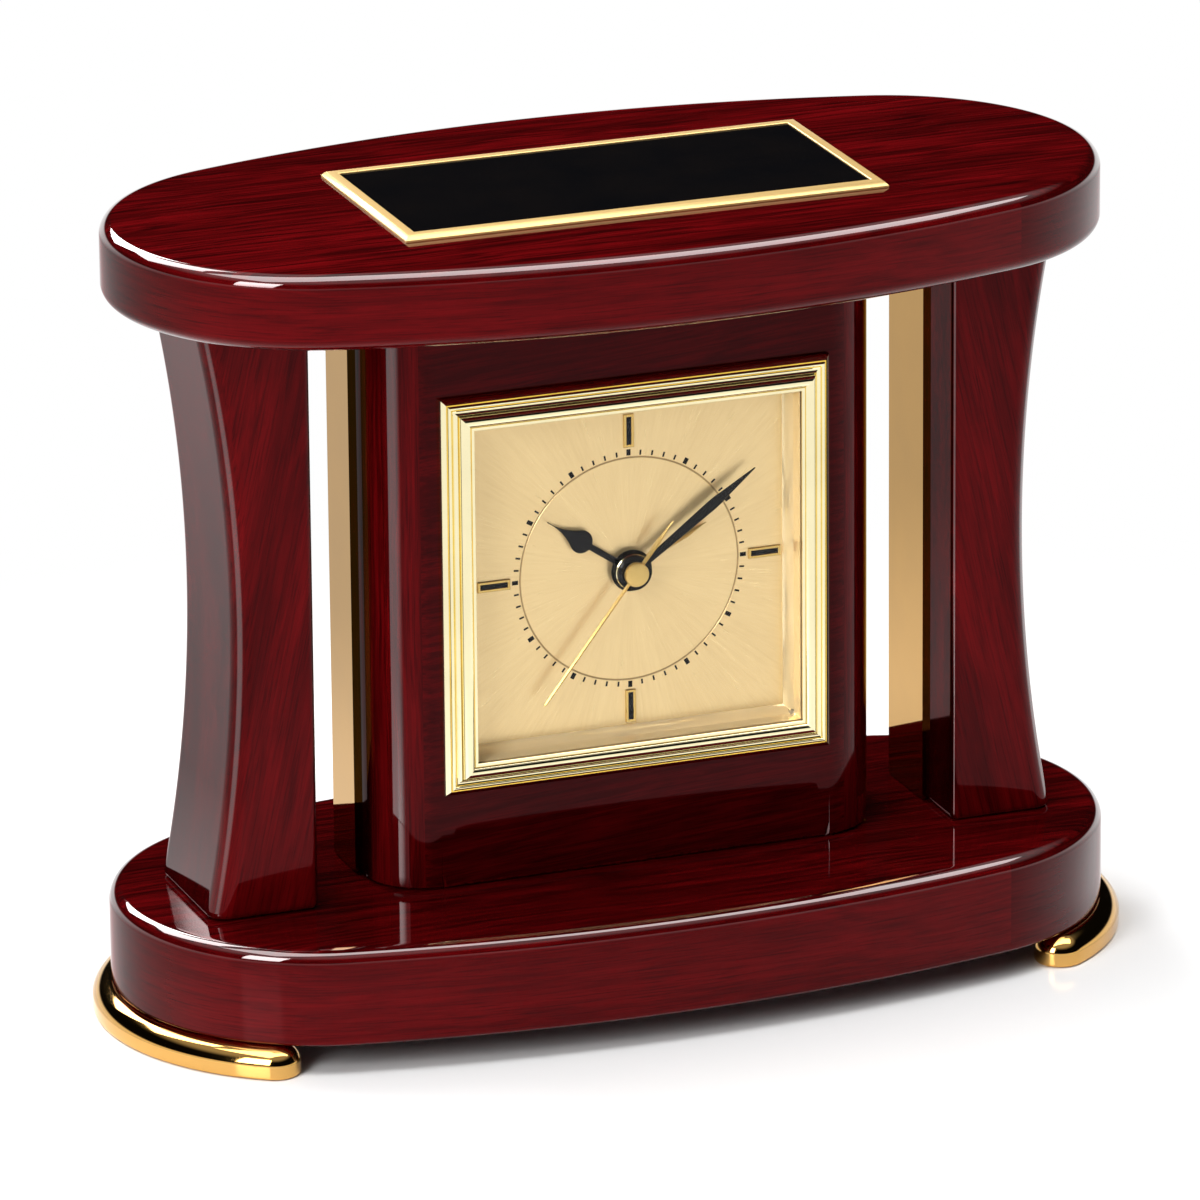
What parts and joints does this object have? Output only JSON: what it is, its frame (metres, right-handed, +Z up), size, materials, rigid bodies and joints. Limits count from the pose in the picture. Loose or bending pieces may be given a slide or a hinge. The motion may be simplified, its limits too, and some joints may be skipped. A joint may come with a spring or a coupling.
{
  "type": "tambour mantel clock",
  "caption": "Mantel clock: oval top and base boards, waisted columns and a centre block that holds a pull-out alarm insert with a square gold frame.",
  "frame": {"origin": "middle of the outline on the surface that the feet stand on", "axes": "+Z up, dial facing -Y, +X to the right as seen from the front, along the boards' length"},
  "size_m": [0.2518, 0.12, 0.1924],
  "materials": {
    "rosewood": "high-gloss lacquer over dark red rosewood",
    "rosewood_dark": "high-gloss lacquer over dark red rosewood",
    "polished_gold": "polished gold plate",
    "gold_mirror": "gold mirror",
    "plate_gold": "satin gold",
    "black_field": "gloss black",
    "clear_lens": "clear mineral glass",
    "dial_gold": "brushed champagne gold",
    "black_lacquer": "gloss black",
    "case_black": "matt",
    "ring_rubber": "matt",
    "steel": "plain",
    "beech": "bare",
    "movement_plastic": "matt",
    "gear_plastic": "natural",
    "gear_brass": "plain",
    "knob_plastic": "satin",
    "cell_jacket": "satin",
    "contact_steel": "nickel plated",
    "copper": "enamelled copper wire",
    "circuit_green": "gloss",
    "chip_black": "gloss",
    "crystal_can": "plain"
  },
  "bodies": {
    "frame": {"base_board": "rosewood", "top_board": "rosewood", "left_column": "rosewood_dark", "right_column": "rosewood_dark", "clock_block": "rosewood_dark", "left_column_mirror": "gold_mirror", "right_column_mirror": "gold_mirror", "left_block_mirror": "gold_mirror", "right_block_mirror": "gold_mirror", "left_foot": "polished_gold", "right_foot": "polished_gold", "foot_screws": "steel", "frame_screws": "steel", "dowels": "beech", "engraving_plate": "plate_gold", "engraving_field": "black_field"},
    "insert": {"bezel": "polished_gold", "lens": "clear_lens", "dial_frame": "polished_gold", "dial": "dial_gold", "marker_frames": "polished_gold", "marker_bars": "black_lacquer", "insert_case": "case_black", "grip_ring": "ring_rubber", "case_screws": "steel", "movement_front": "movement_plastic", "movement_back": "movement_plastic", "battery": "cell_jacket", "contact_plus": "contact_steel", "contact_minus": "contact_steel", "stator": "steel", "coil": "copper", "circuit_board": "circuit_green", "driver_chip": "chip_black", "quartz_crystal": "crystal_can", "buzzer": "gear_brass"},
    "second_train": {"second_hand": "polished_gold", "second_wheel": "gear_plastic"},
    "intermediate_train": {"intermediate_wheel": "gear_plastic"},
    "rotor_train": {"rotor": "steel"},
    "third_train": {"third_wheel": "gear_plastic"},
    "centre_train": {"centre_wheel": "gear_brass"},
    "minute_train": {"minute_hand": "black_lacquer", "minute_pipe": "gear_brass"},
    "motion_train": {"minute_wheel": "gear_plastic"},
    "hour_train": {"hour_hand": "black_lacquer", "hour_bush": "polished_gold", "hour_wheel": "gear_plastic"},
    "time_setting": {"time_knob": "knob_plastic"},
    "alarm_train": {"alarm_hand": "polished_gold", "alarm_wheel": "gear_plastic"},
    "alarm_setting": {"alarm_knob": "knob_plastic"},
    "alarm_slider": {"alarm_switch": "knob_plastic"},
    "battery_lid": {"battery_cover": "movement_plastic"}
  },
  "joints": [
    {"name": "insert_pull", "type": "slide", "parent": "frame", "child": "insert", "axis": [0, -1, 0], "range_m": [0, 0.03]},
    {"name": "second_turn", "type": "hinge", "parent": "insert", "child": "second_train", "pos_m": [0, 0, 0.1015], "axis": [0, 1, 0], "continuous": true},
    {"name": "intermediate_turn", "type": "hinge", "parent": "insert", "child": "intermediate_train", "pos_m": [-0.00891, 0, 0.11041], "axis": [0, 1, 0], "continuous": true},
    {"name": "rotor_turn", "type": "hinge", "parent": "insert", "child": "rotor_train", "pos_m": [-0.01041, 0, 0.11892], "axis": [0, 1, 0], "continuous": true},
    {"name": "third_turn", "type": "hinge", "parent": "insert", "child": "third_train", "pos_m": [0.00891, 0, 0.11041], "axis": [0, 1, 0], "continuous": true},
    {"name": "centre_turn", "type": "hinge", "parent": "insert", "child": "centre_train", "pos_m": [0, 0, 0.1015], "axis": [0, 1, 0], "continuous": true},
    {"name": "minute_turn", "type": "hinge", "parent": "insert", "child": "minute_train", "pos_m": [0, 0, 0.1015], "axis": [0, 1, 0], "continuous": true},
    {"name": "motion_turn", "type": "hinge", "parent": "insert", "child": "motion_train", "pos_m": [-0.0084, 0, 0.1015], "axis": [0, 1, 0], "continuous": true},
    {"name": "hour_turn", "type": "hinge", "parent": "insert", "child": "hour_train", "pos_m": [0, 0, 0.1015], "axis": [0, 1, 0], "continuous": true},
    {"name": "time_setting_turn", "type": "hinge", "parent": "insert", "child": "time_setting", "pos_m": [-0.01709, 0, 0.09997], "axis": [0, 1, 0], "continuous": true},
    {"name": "alarm_turn", "type": "hinge", "parent": "insert", "child": "alarm_train", "pos_m": [0, 0, 0.1015], "axis": [0, 1, 0], "continuous": true},
    {"name": "alarm_setting_turn", "type": "hinge", "parent": "insert", "child": "alarm_setting", "pos_m": [0.0146, 0, 0.09759], "axis": [0, 1, 0], "continuous": true},
    {"name": "alarm_slide", "type": "slide", "parent": "insert", "child": "alarm_slider", "axis": [0, 0, 1], "range_m": [0, 0.0035]},
    {"name": "battery_cover_pull", "type": "slide", "parent": "insert", "child": "battery_lid", "axis": [0, 1, 0], "range_m": [0, 0.02]}
  ],
  "couplings": [
    {"joint": "intermediate_turn", "follows": "second_turn", "ratio": -6},
    {"joint": "rotor_turn", "follows": "second_turn", "ratio": 30},
    {"joint": "third_turn", "follows": "second_turn", "ratio": -0.13333},
    {"joint": "centre_turn", "follows": "second_turn", "ratio": 0.016667},
    {"joint": "motion_turn", "follows": "minute_turn", "ratio": -0.33333},
    {"joint": "hour_turn", "follows": "minute_turn", "ratio": 0.083333},
    {"joint": "time_setting_turn", "follows": "minute_turn", "ratio": 0.83333},
    {"joint": "alarm_setting_turn", "follows": "alarm_turn", "ratio": -0.8}
  ]
}
